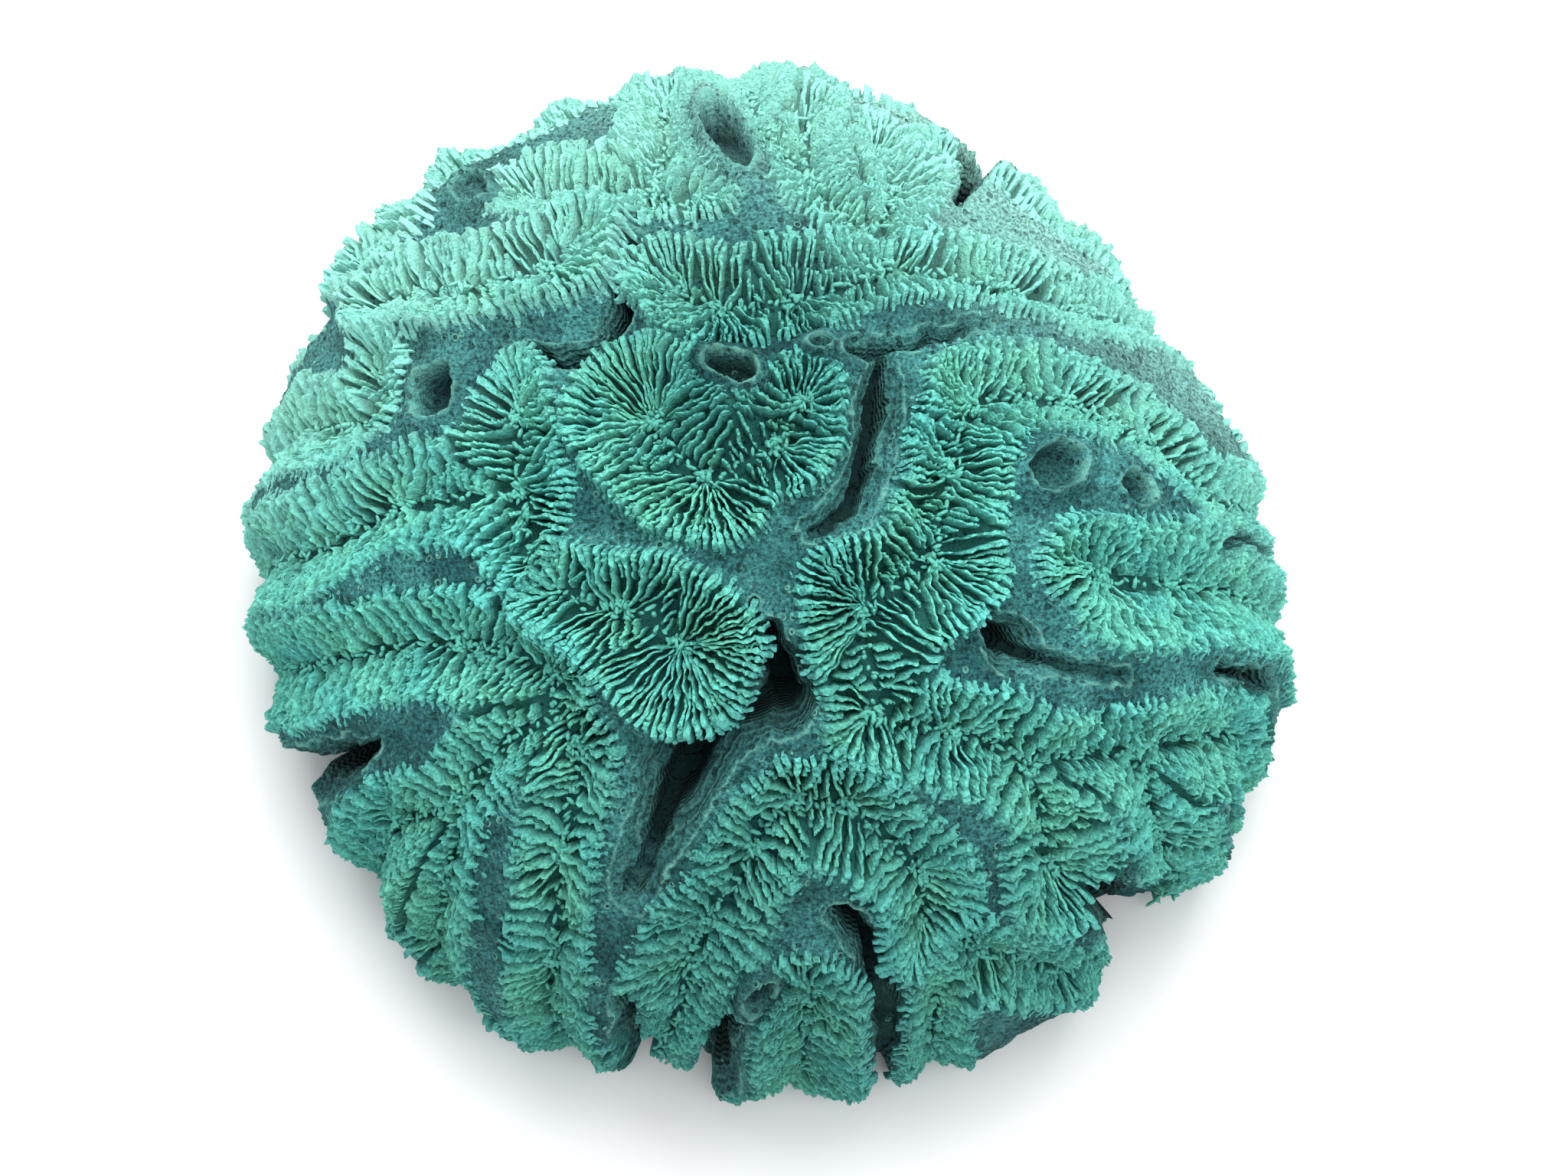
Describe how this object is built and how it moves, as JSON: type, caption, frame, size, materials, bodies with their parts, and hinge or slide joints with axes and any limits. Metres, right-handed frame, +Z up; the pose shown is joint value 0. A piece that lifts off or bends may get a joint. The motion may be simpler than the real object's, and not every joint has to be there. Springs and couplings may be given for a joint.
{
  "type": "brain coral",
  "caption": "Domed brain coral skeleton with winding ridged valleys, slots and pits, cut off flat underneath to rest on a surface.",
  "frame": {"origin": "centre of the flat cut under the coral, below the middle of its outline", "axes": "+Z up from the flat cut through the dome; -Y towards the side that the picture shows nearest"},
  "size_m": [0.1364, 0.138, 0.0684],
  "materials": {
    "skeleton": "matt, dry, finely porous coral skeleton in blue-green"
  },
  "bodies": {
    "root": {"brain_coral": "skeleton"}
  },
  "joints": []
}
